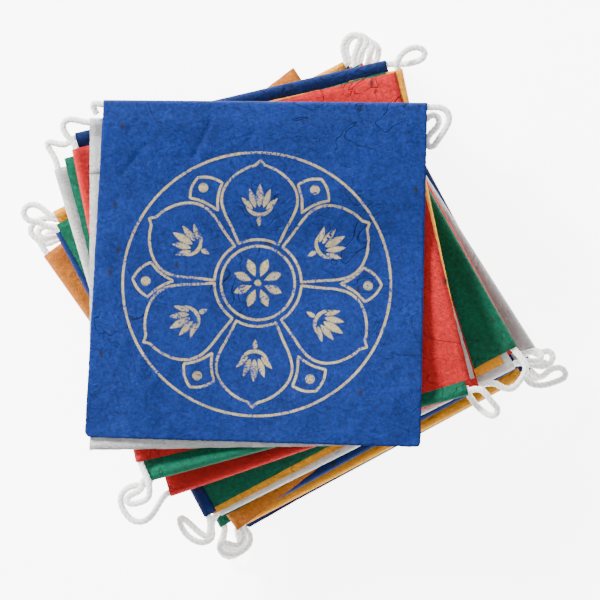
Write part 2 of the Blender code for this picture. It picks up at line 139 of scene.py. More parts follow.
class Flag:
    """One flag's place in plan, with its solid to read heights from."""

    def __init__(self, number, row):
        self.number = number
        self.colour, self.x, self.y, direction, self.heading, self.free = row[:6]
        self.depth, self.shift, self.slant = row[6:]
        self.node = f"flag_{number:02d}_{self.colour}"
        self.face_up = number == 1
        self.side = -1.0 if self.face_up else 1.0
        angle = math.radians(direction)
        self.along = (math.cos(angle), math.sin(angle))
        self.inward = (-self.along[1] * self.side, self.along[0] * self.side)
        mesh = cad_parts[self.node].data
        corners = [vertex.co.copy() for vertex in mesh.vertices]
        self.solid = BVHTree.FromPolygons(corners, [tuple(face.vertices) for face in mesh.polygons])

    def width_at(self, distance):
        part = min(max(distance / self.depth, 0.0), 1.0)
        return self.heading + (self.free - self.heading) * part

    def plan(self, sideways, distance):
        """World x and y, a way along the cord from the flag's middle and in from its heading."""
        part = min(max(distance / self.depth, 0.0), 1.0)
        deeper = distance + self.slant * sideways / self.width_at(distance) * part
        sideways += self.shift * part
        return (self.x + self.along[0] * sideways + self.inward[0] * deeper,
                self.y + self.along[1] * sideways + self.inward[1] * deeper)

    def level(self, sideways, distance):
        """Height of the middle of the solid's sheet, taken just inside its outline."""
        reach = self.width_at(distance) / 2 - CAD_TRIM - EDGE_MARGIN
        distance = min(max(distance, CORD_INSET), self.depth - CAD_TRIM - EDGE_MARGIN)
        x, y = self.plan(min(max(sideways, -reach), reach), distance)
        start, way = (1.0, -1.0) if self.face_up else (-1.0, 1.0)
        hit = self.solid.ray_cast(Vector((x, y, start)), Vector((0.0, 0.0, way)))[0]
        return hit.z + way * CAD_SHEET / 2

    def cord_mouth(self, end):
        """Where the cord's middle leaves the heading, at its start, -1, or its end, 1."""
        half = self.width_at(CORD_INSET) / 2 - CAD_TRIM
        x, y = self.plan(end * half, CORD_INSET)
        return np.array((x, y, self.level(end * half, CORD_INSET) + self.side * CAD_ROLL))

    def top_at(self, x, y):
        """Height of the solid's highest face over a point, or of the table."""
        hit = self.solid.ray_cast(Vector((x, y, 1.0)), Vector((0.0, 0.0, -1.0)))[0]
        return hit.z if hit else 0.0


flags = [Flag(number, row) for number, row in enumerate(FLAGS, start=1)]


# The cord: one length of soft white cotton cord, three plies twisted together, threaded through
# all the folded headings. Its ends stick out at the top flag's left and at the last flag.
CORD_DIAMETER = 0.0025
CORD_OVER_PAPER = 0.0004
STRAIGHT_OUT = 0.003
SOFTENINGS = 16
CURVE_SAMPLES = 24
SHORTEST_STEP = 0.0001
# The route between two flags, as in the part's source: x, y, and how far it lies over the
# straight way down from one heading to the next. The key is the number of the upper flag.
LOOPS = {
    1: ((0.0562, 0.0728, 0), (0.0593, 0.0713, 0), (0.0604, 0.0682, -0.0005), (0.0589, 0.0648, -0.001),
        (0.0562, 0.0606, -0.002), (0.0531, 0.0568, -0.0025), (0.0512, 0.0595, -0.0025),
        (0.0531, 0.0629, -0.002), (0.0558, 0.0652, -0.0015), (0.0566, 0.0682, -0.001),
        (0.0539, 0.0702, -0.0005)),
    2: ((-0.0826, 0.0679, 0), (-0.086, 0.0682, 0), (-0.0879, 0.066, 0), (-0.0868, 0.0629, 0),
        (-0.0849, 0.0606, 0)),
    3: ((-0.0554, -0.0686, 0.0022), (-0.0543, -0.0728, 0.0034), (-0.0547, -0.0767, 0.0026),
        (-0.0577, -0.0782, 0.001), (-0.0616, -0.0791, 0), (-0.0639, -0.0774, -0.0005),
        (-0.0608, -0.0751, -0.001), (-0.0574, -0.0736, -0.0012)),
    4: ((0.0723, -0.035, 0.0025), (0.0761, -0.0396, 0.0024), (0.0791, -0.043, 0.001),
        (0.0772, -0.0457, 0), (0.0734, -0.0438, -0.001), (0.0704, -0.0411, -0.002)),
    5: ((0.0406, 0.091, 0.0026), (0.043, 0.094, 0.0015), (0.046, 0.0956, 0.0005),
        (0.0493, 0.0956, 0.0005), (0.0513, 0.0937, 0), (0.0502, 0.0913, 0), (0.0465, 0.0899, -0.001),
        (0.0426, 0.0893, -0.0022)),
    6: ((-0.0864, 0.0583, 0), (-0.0906, 0.0591, 0), (-0.0941, 0.0598, 0), (-0.0929, 0.0568, -0.0005),
        (-0.0906, 0.0533, 0)),
    7: ((-0.057, -0.0718, 0.001), (-0.0619, -0.0723, 0.0018), (-0.065, -0.0748, 0.001),
        (-0.0658, -0.0778, 0.0005), (-0.0639, -0.0824, 0), (-0.0604, -0.0858, 0), (-0.0558, -0.0855, 0),
        (-0.0526, -0.082, -0.0005), (-0.0504, -0.078, -0.0005)),
    8: ((0.0776, -0.0327, 0.0005), (0.0807, -0.0346, 0.0005), (0.0841, -0.0354, 0.0005),
        (0.0872, -0.0323, 0), (0.0899, -0.0277, 0), (0.0887, -0.0239, 0)),
    9: ((0.0249, 0.0954, 0), (0.0268, 0.0992, 0.001), (0.0245, 0.1011, 0.001), (0.0214, 0.1, 0.0005),
        (0.0195, 0.0965, 0), (0.0203, 0.0923, 0)),
    10: ((-0.0952, 0.0338, 0), (-0.0983, 0.0358, 0), (-0.1021, 0.035, 0), (-0.1032, 0.0323, 0),
        (-0.1009, 0.0292, 0), (-0.0971, 0.0292, 0), (-0.0948, 0.0273, 0)),
    11: ((-0.0321, -0.092, 0.0015), (-0.0359, -0.0897, 0.0015), (-0.0401, -0.0858, 0.001),
        (-0.0432, -0.0839, 0.0005), (-0.0424, -0.0881, 0), (-0.039, -0.0923, 0), (-0.034, -0.0942, 0),
        (-0.0302, -0.092, -0.0005), (-0.031, -0.088, -0.001)),
    12: ((0.0906, -0.0243, 0), (0.0944, -0.0247, 0), (0.0964, -0.0224, 0), (0.0941, -0.0201, 0),
        (0.0914, -0.0212, 0)),
    13: ((0.0271, 0.0954, 0), (0.0294, 0.0985, 0.0005), (0.0271, 0.1008, 0.0005), (0.0233, 0.1004, 0),
        (0.021, 0.0973, 0), (0.021, 0.0931, 0)),
    14: ((-0.0933, 0.0308, 0), (-0.0975, 0.0296, 0), (-0.1006, 0.0273, 0), (-0.1002, 0.0239, 0),
        (-0.0971, 0.022, 0), (-0.0966, 0.0204, 0)),
    15: ((-0.0187, -0.0935, 0.0005), (-0.0214, -0.0958, 0.0005), (-0.0252, -0.0942, 0),
        (-0.0283, -0.095, 0), (-0.0271, -0.0981, 0), (-0.0233, -0.0992, 0), (-0.0191, -0.0977, 0),
        (-0.0161, -0.0946, 0), (-0.0161, -0.0912, 0), (-0.0184, -0.0889, 0)),
    16: ((0.0933, -0.0262, 0.0015), (0.0979, -0.0266, 0.001), (0.1009, -0.0231, 0.0005),
        (0.0986, -0.0201, 0), (0.096, -0.0216, -0.0003)),
    17: ((0.0286, 0.0882, 0.0003), (0.03, 0.0934, 0), (0.0314, 0.0969, 0), (0.0294, 0.0996, 0),
        (0.026, 0.0985, 0), (0.0252, 0.0946, 0)),
    18: ((-0.0925, 0.0273, 0), (-0.0964, 0.0273, 0), (-0.0983, 0.0247, 0), (-0.0956, 0.0224, 0),
        (-0.0929, 0.0231, 0)),
    19: ((-0.0264, -0.092, 0), (-0.026, -0.0962, 0), (-0.0226, -0.0977, 0), (-0.0187, -0.0962, 0),
        (-0.0176, -0.0923, 0)),
    20: ((0.091, -0.0328, 0.0019), (0.096, -0.034, 0.0018), (0.1013, -0.0326, 0.0008),
        (0.1059, -0.0304, 0.0005), (0.104, -0.027, 0), (0.0998, -0.0276, 0),
        (0.0958, -0.0312, -0.0009)),
    21: ((0.0329, 0.092, 0), (0.0336, 0.0958, 0), (0.031, 0.0985, 0), (0.0275, 0.0965, 0),
        (0.0268, 0.0927, 0)),
    22: ((-0.0918, 0.0258, 0), (-0.0952, 0.0235, 0), (-0.0956, 0.0201, 0), (-0.0922, 0.0215, 0)),
    23: ((-0.0268, -0.0927, 0), (-0.0283, -0.0965, 0), (-0.0256, -0.1, 0), (-0.021, -0.0992, 0),
        (-0.0199, -0.095, 0)),
    24: ((0.0926, -0.0315, 0.0004), (0.0975, -0.03, 0), (0.0998, -0.0266, 0), (0.0967, -0.0247, 0)),
}
START_TAIL = ((-0.0765, 0.0744, 0), (-0.0746, 0.0702, -0.0015))
END_TAIL = ((0.0306, 0.0908, 0), (0.0294, 0.0954, -0.0015), (0.0329, 0.0985, -0.0025))


def smooth_curve(points, step):
    """Points a step apart on a smooth curve; the first and last given points only steer it."""
    points = np.array(points)
    fine = []
    for index in range(len(points) - 3):
        a, b, c, d = points[index:index + 4]
        knots = np.cumsum([0.0] + [max(np.linalg.norm(q - p), 1e-9) ** 0.5
                                   for p, q in ((a, b), (b, c), (c, d))])
        for t in np.linspace(knots[1], knots[2], CURVE_SAMPLES, endpoint=False):
            ab = a + (b - a) * (t - knots[0]) / (knots[1] - knots[0])
            bc = b + (c - b) * (t - knots[1]) / (knots[2] - knots[1])
            cd = c + (d - c) * (t - knots[2]) / (knots[3] - knots[2])
            abc = ab + (bc - ab) * (t - knots[0]) / (knots[2] - knots[0])
            bcd = bc + (cd - bc) * (t - knots[1]) / (knots[3] - knots[1])
            fine.append(abc + (bcd - abc) * (t - knots[1]) / (knots[2] - knots[1]))
    fine.append(points[-2])
    fine = np.array(fine)
    along = np.concatenate(([0.0], np.cumsum(np.linalg.norm(np.diff(fine, axis=0), axis=1))))
    marks = np.linspace(0.0, along[-1], max(2, int(round(along[-1] / step))) + 1)
    return [np.array([np.interp(mark, along, fine[:, axis]) for axis in range(3)]) for mark in marks]


def softened(points):
    """The same line with its sharp turns opened, as a soft cord's are; the ends stay."""
    points = np.array(points)
    for _ in range(SOFTENINGS):
        points[1:-1] = points[1:-1] / 2 + (points[:-2] + points[2:]) / 4
    return list(points)


def over_paper(x, y, z, number):
    """The point, raised where needed to clear the flags under the loop."""
    under = max(flag.top_at(x, y) for flag in flags if flag.number >= number)
    return np.array((x, y, max(z, under + CORD_DIAMETER / 2 + CORD_OVER_PAPER)))


def loop_between(upper, lower, route):
    """The loop's steering points, from one heading's mouth to the next."""
    end, start = upper.cord_mouth(1), lower.cord_mouth(-1)
    out = end - upper.cord_mouth(-1)
    into = lower.cord_mouth(1) - start
    out *= STRAIGHT_OUT / np.linalg.norm(out)
    into *= STRAIGHT_OUT / np.linalg.norm(into)
    first, last = end + out, start - into
    plan = [first[:2]] + [np.array(point[:2]) for point in route] + [last[:2]]
    spans = np.cumsum([0.0] + [np.linalg.norm(q - p) for p, q in zip(plan, plan[1:])])
    points = [end - out, end, first]
    for (x, y, lift), span in zip(route, spans[1:]):
        z = first[2] + (last[2] - first[2]) * span / spans[-1] + lift
        points.append(over_paper(x, y, z, min(lower.number + 1, len(flags))))
    return points + [last, start, start + into]


def tail_from(mouth, inner, route, number):
    """The steering points of a free end, from a heading's mouth outwards."""
    out = STRAIGHT_OUT * (mouth - inner) / np.linalg.norm(mouth - inner)
    points = [mouth - out, mouth, mouth + out]
    points += [over_paper(x, y, mouth[2] + lift, number) for x, y, lift in route]
    return points + [2 * points[-1] - points[-2]]


FINE_STEP = 0.00055
TUNNEL_STEP = 0.0075
start_tail = tail_from(flags[0].cord_mouth(-1), flags[0].cord_mouth(1), START_TAIL, 2)
cord_line = softened(smooth_curve(start_tail, FINE_STEP))[::-1]
for flag in flags:
    mouth_in, mouth_out = flag.cord_mouth(-1), flag.cord_mouth(1)
    steps = int(np.linalg.norm(mouth_out - mouth_in) / TUNNEL_STEP)
    cord_line += [mouth_in + (mouth_out - mouth_in) * k / steps for k in range(steps + 1)]
    if flag is flags[-1]:
        cord_line += softened(smooth_curve(tail_from(mouth_out, mouth_in, END_TAIL, 25), FINE_STEP))
    else:
        below = flags[flag.number]
        loop = loop_between(flag, below, LOOPS[flag.number])
        cord_line += softened(smooth_curve(loop, FINE_STEP))
cord_line = np.array(cord_line)
steps_between = np.linalg.norm(np.diff(cord_line, axis=0), axis=1)
cord_line = cord_line[np.concatenate(([True], steps_between > SHORTEST_STEP))]

# The section is a rounded trefoil, for the three plies, that turns once in every lay length.
PLY_COUNT = 3
LAY_LENGTH = 0.006
RING_POINTS = 24
PLY_DIP = 0.20
PLY_SHARPNESS = 1.4
FUZZ = 0.00005
tangents = np.gradient(cord_line, axis=0)
tangents /= np.linalg.norm(tangents, axis=1)[:, None]
run = np.concatenate(([0.0], np.cumsum(np.linalg.norm(np.diff(cord_line, axis=0), axis=1))))
across = np.cross(tangents[0], (0.0, 0.0, 1.0))
cord_vertices, cord_faces, groove = [], [], []
for index, (centre, tangent) in enumerate(zip(cord_line, tangents)):
    across = across - tangent * np.dot(across, tangent)
    across /= np.linalg.norm(across)
    up = np.cross(tangent, across)
    turn = 2 * math.pi * run[index] / LAY_LENGTH
    for k in range(RING_POINTS):
        angle = 2 * math.pi * k / RING_POINTS
        crown = abs(math.cos(PLY_COUNT / 2 * (angle - turn)))
        radius = CORD_DIAMETER / 2 * (1 - PLY_DIP * (1 - crown) ** PLY_SHARPNESS)
        radius += FUZZ * noise.noise(Vector((run[index] * 1200, k * 2.1, 7.0)))
        place = centre + radius * (math.cos(angle) * across + math.sin(angle) * up)
        cord_vertices.append(tuple(place))
        groove.append(crown)
for ring in range(len(cord_line) - 1):
    for k in range(RING_POINTS):
        a, b = ring * RING_POINTS + k, ring * RING_POINTS + (k + 1) % RING_POINTS
        cord_faces.append((a, b, b + RING_POINTS, a + RING_POINTS))
cord_faces.append(tuple(range(RING_POINTS))[::-1])
cord_faces.append(tuple(range(len(cord_vertices) - RING_POINTS, len(cord_vertices))))
cord_mesh = bpy.data.meshes.new("cotton_cord")
cord_mesh.from_pydata(cord_vertices, [], cord_faces)
cord_mesh.polygons.foreach_set("use_smooth", [True] * len(cord_mesh.polygons))
crown_attribute = cord_mesh.attributes.new("crown", "FLOAT", "POINT")
crown_attribute.data.foreach_set("value", groove)
cord = bpy.data.objects.new("cotton_cord", cord_mesh)
bpy.context.scene.collection.objects.link(cord)

# Soft unbleached-white cotton with fine fluff; painted shade darkens its colour in the grooves between the
# plies.
cotton = bpy.data.materials.new("cotton_cord")
cotton.use_nodes = True
nodes, links = cotton.node_tree.nodes, cotton.node_tree.links
shader = nodes["Principled BSDF"]
shader.inputs["Roughness"].default_value = 0.95
shader.inputs["Sheen Weight"].default_value = 0.2
place = nodes.new("ShaderNodeTexCoord")
fluff = nodes.new("ShaderNodeTexNoise")
fluff.inputs["Scale"].default_value = 1400.0
fluff.inputs["Detail"].default_value = 5.0
links.new(place.outputs["Object"], fluff.inputs["Vector"])
crown_value = nodes.new("ShaderNodeAttribute")
crown_value.attribute_name = "crown"
# painted shade: the colour is multiplied down to 0.6 in the grooves between the plies, read from the crown
# attribute
painted_groove_shade = nodes.new("ShaderNodeMapRange")
painted_groove_shade.inputs["From Max"].default_value = 0.55
painted_groove_shade.inputs["To Min"].default_value = 0.60
links.new(crown_value.outputs["Fac"], painted_groove_shade.inputs["Value"])
tint = nodes.new("ShaderNodeValToRGB")
tint.color_ramp.elements[0].position = 0.3
tint.color_ramp.elements[0].color = (0.74, 0.73, 0.71, 1.0)
tint.color_ramp.elements[1].position = 0.62
tint.color_ramp.elements[1].color = (0.95, 0.94, 0.92, 1.0)
links.new(fluff.outputs["Fac"], tint.inputs["Fac"])
shade = nodes.new("ShaderNodeMix")
shade.data_type = "RGBA"
shade.blend_type = "MULTIPLY"
shade.inputs[0].default_value = 1.0
links.new(tint.outputs["Color"], shade.inputs[6])
links.new(painted_groove_shade.outputs["Result"], shade.inputs[7])
links.new(shade.outputs[2], shader.inputs["Base Color"])
bump = nodes.new("ShaderNodeBump")
bump.inputs["Strength"].default_value = 0.4
bump.inputs["Distance"].default_value = 0.0002
links.new(fluff.outputs["Fac"], bump.inputs["Height"])
links.new(bump.outputs["Normal"], shader.inputs["Normal"])
cord_mesh.materials.append(cotton)
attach(cord, "root")
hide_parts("cord")
tuple(float(c) for c in flags[0].cord_mouth(-1))


# Handmade paper, for all the flags: a soft uneven dye, crossing fibres, fine crinkles with painted shade in
# their valleys, some dark flecks of bark, and a felted surface. The group gives a colour, a height and a
# roughness.
paper_group = bpy.data.node_groups.new("handmade_paper", "ShaderNodeTree")
for socket, kind in (("Place", "NodeSocketVector"), ("Dye", "NodeSocketColor"),
                     ("Mottle", "NodeSocketFloat")):
    paper_group.interface.new_socket(name=socket, in_out="INPUT", socket_type=kind)
for socket, kind in (("Colour", "NodeSocketColor"), ("Height", "NodeSocketFloat"),
                     ("Roughness", "NodeSocketFloat")):
    paper_group.interface.new_socket(name=socket, in_out="OUTPUT", socket_type=kind)
nodes, links = paper_group.nodes, paper_group.links
given = nodes.new("NodeGroupInput")
made = nodes.new("NodeGroupOutput")


def noise_layer(scale, detail, stretch=None, turn=0.0, distortion=0.0):
    """A noise texture on the group's place, stretched along one way where asked."""
    layer = nodes.new("ShaderNodeTexNoise")
    layer.inputs["Scale"].default_value = scale
    layer.inputs["Detail"].default_value = detail
    layer.inputs["Distortion"].default_value = distortion
    if stretch is None:
        links.new(given.outputs["Place"], layer.inputs["Vector"])
    else:
        mapping = nodes.new("ShaderNodeMapping")
        mapping.vector_type = "TEXTURE"
        mapping.inputs["Rotation"].default_value = (0.0, 0.0, turn)
        mapping.inputs["Scale"].default_value = (1.0, 1.0 / stretch, 1.0)
        links.new(given.outputs["Place"], mapping.inputs["Vector"])
        links.new(mapping.outputs["Vector"], layer.inputs["Vector"])
    return layer.outputs["Fac"]


def ranged(value, low, high, to_low, to_high):
    """The value taken from one range to another, and kept within it."""
    node = nodes.new("ShaderNodeMapRange")
    for socket, number in (("From Min", low), ("From Max", high), ("To Min", to_low),
                           ("To Max", to_high)):
        node.inputs[socket].default_value = number
    links.new(value, node.inputs["Value"])
    return node.outputs["Result"]


def combined(operation, one, two):
    """Two values, or a value and a number, put together."""
    node = nodes.new("ShaderNodeMath")
    node.operation = operation
    for socket, value in zip(node.inputs, (one, two)):
        if isinstance(value, (int, float)):
            socket.default_value = value
        else:
            links.new(value, socket)
    return node.outputs["Value"]


def mixed(factor, one, two, blend="MIX"):
    """Two colours mixed; a colour is a socket or a tuple."""
    node = nodes.new("ShaderNodeMix")
    node.data_type = "RGBA"
    node.blend_type = blend
    for socket, value in ((node.inputs[0], factor), (node.inputs[6], one), (node.inputs[7], two)):
        if isinstance(value, (int, float, tuple)):
            socket.default_value = value
        else:
            links.new(value, socket)
    return node.outputs[2]


clouds = noise_layer(45.0, 4.0)
blotches = noise_layer(260.0, 5.0)
grain = noise_layer(800.0, 5.0)
fibres = None
for scale, stretch, turn in ((75.0, 9.0, 0.3), (90.0, 8.0, 1.9), (60.0, 10.0, 2.7)):
    streak = noise_layer(scale, 3.0, stretch, turn, 0.6)
    line = ranged(combined("ABSOLUTE", combined("SUBTRACT", streak, 0.5), 0), 0.0, 0.030, 1.0, 0.0)
    fibres = line if fibres is None else combined("MAXIMUM", fibres, line)
brightness = combined("ADD", ranged(clouds, 0.3, 0.7, -0.22, 0.22), ranged(blotches, 0.3, 0.7, -0.22, 0.22))
brightness = combined("ADD", brightness, ranged(grain, 0.3, 0.7, -0.75, 0.75))
brightness = combined("ADD", brightness, combined("MULTIPLY", fibres, 0.30))
crinkle = ranged(combined("ABSOLUTE", combined("SUBTRACT", noise_layer(42.0, 2.0, distortion=1.2), 0.5), 0),
                 0.0, 0.009, 1.0, 0.0)
crinkle = combined("MULTIPLY", crinkle, ranged(noise_layer(16.0, 1.0), 0.48, 0.58, 0.0, 1.0))
# painted shade: the crinkle lines darken the paper's colour as well as dipping its height
brightness = combined("SUBTRACT", brightness, combined("MULTIPLY", crinkle, 0.75))
brightness = combined("MULTIPLY", brightness, given.outputs["Mottle"])
level_value = combined("ADD", brightness, 1.0)
level_colour = nodes.new("ShaderNodeCombineColor")
for channel in ("Red", "Green", "Blue"):
    links.new(level_value, level_colour.inputs[channel])
dyed = mixed(1.0, given.outputs["Dye"], level_colour.outputs["Color"], "MULTIPLY")
bark = nodes.new("ShaderNodeTexVoronoi")
bark.voronoi_dimensions = "2D"
bark.inputs["Scale"].default_value = 150.0
bark_turn = nodes.new("ShaderNodeMapping")
bark_turn.inputs["Rotation"].default_value = (0.0, 0.0, 0.6)
bark_turn.inputs["Scale"].default_value = (1.0, 0.55, 1.0)
links.new(given.outputs["Place"], bark_turn.inputs["Vector"])
links.new(bark_turn.outputs["Vector"], bark.inputs["Vector"])
bark_pick = nodes.new("ShaderNodeSeparateColor")
links.new(bark.outputs["Color"], bark_pick.inputs["Color"])
rare = ranged(bark_pick.outputs["Red"], 0.93, 0.94, 0.0, 1.0)
near = ranged(bark.outputs["Distance"], 0.05, 0.16, 1.0, 0.0)
fleck = combined("MULTIPLY", combined("MULTIPLY", rare, near), 0.9)
flecked = mixed(fleck, dyed, (0.012, 0.012, 0.016, 1.0))
height = combined("ADD", combined("MULTIPLY", grain, 0.35), combined("MULTIPLY", blotches, 0.5))
height = combined("ADD", height, combined("MULTIPLY", fibres, 0.3))
height = combined("SUBTRACT", height, combined("MULTIPLY", crinkle, 0.9))
links.new(flecked, made.inputs["Colour"])
links.new(height, made.inputs["Height"])
links.new(ranged(grain, 0.3, 0.7, 0.82, 0.97), made.inputs["Roughness"])

# name of the dye, its colour, how strongly it varies
DYES = (
    ("blue", (0.0030, 0.0200, 0.1400), 0.55),
    ("white", (0.480, 0.485, 0.480), 0.12),
    ("red", (0.4500, 0.0130, 0.0140), 0.25),
    ("green", (0.0003, 0.0850, 0.0440), 0.45),
    ("yellow", (0.6800, 0.2700, 0.0120), 0.25),
    ("navy", (0.0025, 0.0130, 0.0850), 0.50),
    ("orange", (0.4200, 0.1250, 0.0140), 0.30),
)
papers = {}
for dye, colour, mottle in DYES:
    paper = bpy.data.materials.new(f"paper_{dye}")
    paper.use_nodes = True
    nodes, links = paper.node_tree.nodes, paper.node_tree.links
    shader = nodes["Principled BSDF"]
    shader.inputs["Specular IOR Level"].default_value = 0.25
    group = nodes.new("ShaderNodeGroup")
    group.node_tree = paper_group
    place = nodes.new("ShaderNodeTexCoord")
    links.new(place.outputs["Object"], group.inputs["Place"])
    group.inputs["Dye"].default_value = (*colour, 1.0)
    group.inputs["Mottle"].default_value = mottle
    bump = nodes.new("ShaderNodeBump")
    bump.inputs["Strength"].default_value = 0.8
    bump.inputs["Distance"].default_value = 0.0009
    links.new(group.outputs["Height"], bump.inputs["Height"])
    links.new(bump.outputs["Normal"], shader.inputs["Normal"])
    links.new(group.outputs["Colour"], shader.inputs["Base Color"])
    links.new(group.outputs["Roughness"], shader.inputs["Roughness"])
    papers[dye] = paper


# The flags: sheets of handmade paper, each folded round the cord at its heading, with the end
# pasted back on the sheet. Their cut edges are a little ragged and they lie slightly uneven.
THICKNESS = 0.0004
FLAP_DEPTH = 0.021
FLAP_RISE = 0.00043
WRAP_RADIUS = 0.00155
WRAP_STEPS = 12
FLAP_JOINS = 0.0078
RISE_FROM = 0.0095
EDGE_IN = 0.0006
RAGGED = 0.0004
# colour of each flag's dye where it isn't the plain one, by the flag's number
OTHER_DYES = {6: "navy", 11: "navy", 15: "orange", 16: "navy", 21: "navy"}
# round corners at the free edge: flag, end of the edge, radius
ROUND_CORNERS = ((1, 1, 0.002), (1, -1, 0.0025))
# creases pressed in the top flag: depth, half width, then points x and y
CREASES = (
    (0.00085, 0.0010, (-0.0306, 0.0728), (-0.0310, 0.0671), (-0.0340, 0.0610), (-0.0371, 0.0545)),
    (0.00075, 0.0009, (-0.0084, 0.0713), (-0.0034, 0.0679), (0.0031, 0.0671)),
    (0.00055, 0.0008, (-0.0145, 0.0633), (-0.0172, 0.0595)),
    (0.00075, 0.0011, (-0.0554, 0.0583), (-0.0612, 0.0514), (-0.0650, 0.0468)),
    (0.00055, 0.0009, (-0.0593, 0.0671), (-0.0627, 0.0633)),
)


def eased(value):
    value = min(max(value, 0.0), 1.0)
    return value * value * (3 - 2 * value)


def section_rows(flag, body_rows):
    """Rows from the free edge over the cord to the flap's end: distance in, height, on the body."""
    free_edge = flag.depth - EDGE_IN
    rise = CAD_ROLL - WRAP_RADIUS
    rows = []
    for k in range(body_rows):
        distance = free_edge + (RISE_FROM - free_edge) * k / body_rows
        rows.append((distance, 0.0, True))

    def lifted(distance):
        return rise * (1 - eased((distance - CORD_INSET) / (RISE_FROM - CORD_INSET)))

    for k in range(6):
        distance = RISE_FROM + (CORD_INSET + 0.0004 - RISE_FROM) * k / 5
        rows.append((distance, lifted(distance), True))
    for k in range(1, WRAP_STEPS + 1):
        angle = math.radians(-90 - 210 * k / WRAP_STEPS)
        rows.append((CORD_INSET + WRAP_RADIUS * math.cos(angle),
                     CAD_ROLL + WRAP_RADIUS * math.sin(angle), False))
    start = np.array(rows[-1][:2])
    end = np.array((FLAP_JOINS, FLAP_RISE + lifted(FLAP_JOINS)))
    for k in range(1, 8):
        t = k / 7
        point = (2 * t ** 3 - 3 * t ** 2 + 1) * start + (3 * t ** 2 - 2 * t ** 3) * end
        point += (t ** 3 - 2 * t ** 2 + t) * np.array((0.0045, -0.0026))
        point += (t ** 3 - t ** 2) * np.array((0.0035, 0.0))
        rows.append((point[0], point[1], False))
    for k in range(1, 7):
        distance = FLAP_JOINS + (FLAP_DEPTH - FLAP_JOINS) * k / 6
        rows.append((distance, FLAP_RISE + lifted(distance), False))
    return rows


def smoothed(field, passes):
    for _ in range(passes):
        padded = np.pad(field, 1, mode="edge")
        rows, columns = field.shape
        field = sum(padded[i:i + rows, j:j + columns] for i in range(3) for j in range(3)) / 9
    return field


def crease_depth(x, y):
    """How deep the pressed creases of the top flag are at a point."""
    depth = 0.0
    for deep, half_width, *points in CREASES:
        nearest = 1.0
        for (ax, ay), (bx, by) in zip(points, points[1:]):
            length = (bx - ax) ** 2 + (by - ay) ** 2
            t = min(max(((x - ax) * (bx - ax) + (y - ay) * (by - ay)) / length, 0.0), 1.0)
            nearest = min(nearest, math.hypot(x - ax - t * (bx - ax), y - ay - t * (by - ay)))
        depth = max(depth, deep * math.exp(-(nearest / half_width) ** 2))
    return depth


def unevenness(flag, x, y):
    """How the paper cockles: a slow wave, short wrinkles and, on the top flag, its creases."""
    seed = flag.number * 3.7
    slow = noise.noise(Vector((x * 26, y * 26, seed)))
    wrinkle = noise.noise(Vector((x * 120, y * 75, seed + 50)))
    patch = eased(0.5 + 1.6 * noise.noise(Vector((x * 22, y * 22, seed + 90))))
    if not flag.face_up:
        return 0.00022 * slow + 0.00008 * wrinkle * patch
    fold = 0.00055 * (1 - 2 * abs(wrinkle)) * patch
    return 0.0006 * slow + fold - crease_depth(x, y)


def make_sheet(flag, columns, body_rows, passes):
    """The flag's folded sheet as one grid, laid on the levels of its solid."""
    rows = section_rows(flag, body_rows)
    shares = np.linspace(-1.0, 1.0, columns + 1)
    body_count = sum(1 for row in rows if row[2])
    body = np.zeros((body_count, columns + 1))
    for i, row in enumerate(rows[:body_count]):
        half = flag.width_at(row[0]) / 2
        for j, share in enumerate(shares):
            body[i, j] = flag.level(share * half, row[0])
    body = smoothed(body, passes)
    distances = np.array([row[0] for row in rows[:body_count]])[::-1]
    vertices = []
    for distance, height, on_body in rows:
        half = flag.width_at(distance) / 2 - EDGE_IN
        for j, share in enumerate(shares):
            sideways, inset = share * half, distance
            ragged = RAGGED * (noise.noise(Vector((distance * 420, share * 3, flag.number * 5.1)))
                               + 0.6 * noise.noise(Vector((distance * 1500, share * 3, flag.number))))
            sideways -= math.copysign(abs(ragged) * math.exp(-half * (1 - abs(share)) / 0.002), share)
            if on_body:
                ragged = RAGGED * noise.noise(Vector((share * 33, 9.0, flag.number * 2.3)))
                inset -= abs(ragged) * math.exp(-(rows[0][0] - distance) / 0.002)
            for number, end, radius in ROUND_CORNERS:
                if number != flag.number or share * end < 0:
                    continue
                to_side = half - abs(sideways)
                to_free = rows[0][0] - inset
                u, v = 1 - to_side / radius, 1 - to_free / radius
                if u > 0 and v > 0:
                    scale = max(u, v) / math.hypot(u, v)
                    sideways = end * (half - radius * (1 - u * scale))
                    inset = rows[0][0] - radius * (1 - v * scale)
            x, y = flag.plan(sideways, inset)
            z = np.interp(max(distance, distances[0]), distances, body[::-1, j])
            z += unevenness(flag, x, y) * eased(distance / 0.012) + flag.side * height
            if flag.face_up:
                z += 0.00025 * (1 - eased((distance - FLAP_DEPTH + 0.0012) / 0.0024))
            if flag.number == len(flags):
                z -= CAD_SHEET / 2 - THICKNESS / 2 - 0.00002
            vertices.append((x, y, z))
    faces = []
    for i in range(len(rows) - 1):
        for j in range(columns):
            a = i * (columns + 1) + j
            quad = (a, a + 1, a + columns + 2, a + columns + 1)
            faces.append(quad if flag.face_up else quad[::-1])
    mesh = bpy.data.meshes.new(f"paper_flag_{flag.number:02d}")
    mesh.from_pydata(vertices, [], faces)
    mesh.polygons.foreach_set("use_smooth", [True] * len(faces))
    sheet = bpy.data.objects.new(mesh.name, mesh)
    bpy.context.scene.collection.objects.link(sheet)
    shell = sheet.modifiers.new("thickness", "SOLIDIFY")
    shell.thickness = THICKNESS
    shell.offset = 0.0
    mesh.materials.append(papers[OTHER_DYES.get(flag.number, flag.colour)])
    return sheet


sheets = {}
for flag in flags:
    if flag.face_up:
        sheets[flag.number] = make_sheet(flag, 120, 110, 14)
    else:
        sheets[flag.number] = make_sheet(flag, 46, 44, 3)
    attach(sheets[flag.number], "root")
    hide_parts(flag.node)


